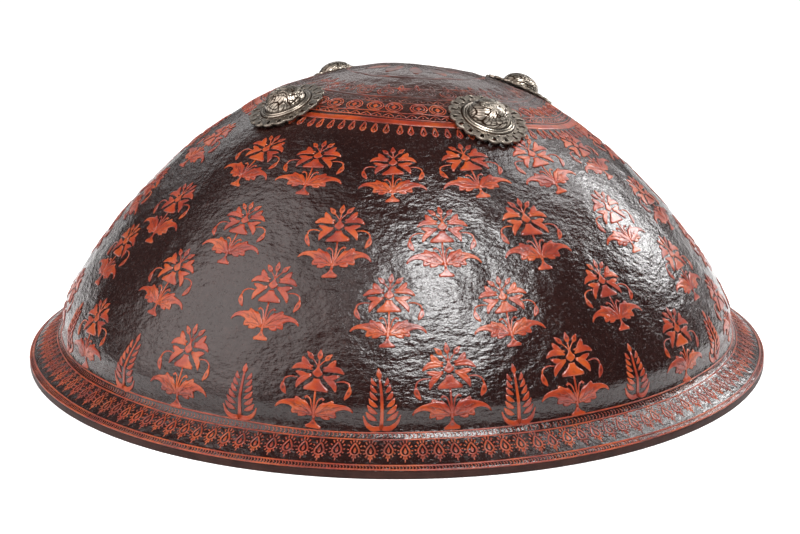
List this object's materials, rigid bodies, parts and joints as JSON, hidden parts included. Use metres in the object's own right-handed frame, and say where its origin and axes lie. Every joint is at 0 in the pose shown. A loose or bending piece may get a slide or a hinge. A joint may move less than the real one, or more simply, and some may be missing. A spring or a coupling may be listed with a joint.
{
  "type": "buckler shield",
  "caption": "Deep domed round shield of lacquered hide with a flared rim, raised painted flowers and pierced metal bosses round its crown.",
  "frame": {"origin": "on the shield's axis, in the plane of the rim's flat underside", "axes": "+Z out of the crown along the shield's axis, -Y towards the side with the two lower front bosses"},
  "size_m": [0.48, 0.48, 0.18],
  "materials": {
    "lacquered_hide": "thick dark brown-black lacquer over moulded hide, pebbly, glossy, with soft undulations",
    "raised_lacquer": "orange-red lacquer over raised gesso motifs, rubbed at the crown and rim",
    "aged_silver": "aged white metal, engraved, polished on the high places and brown in the recesses"
  },
  "bodies": {
    "root": {"shell": "lacquered_hide", "boss_front_left": "aged_silver", "boss_front_right": "aged_silver", "boss_back_right": "aged_silver", "boss_back_left": "aged_silver"}
  },
  "joints": []
}
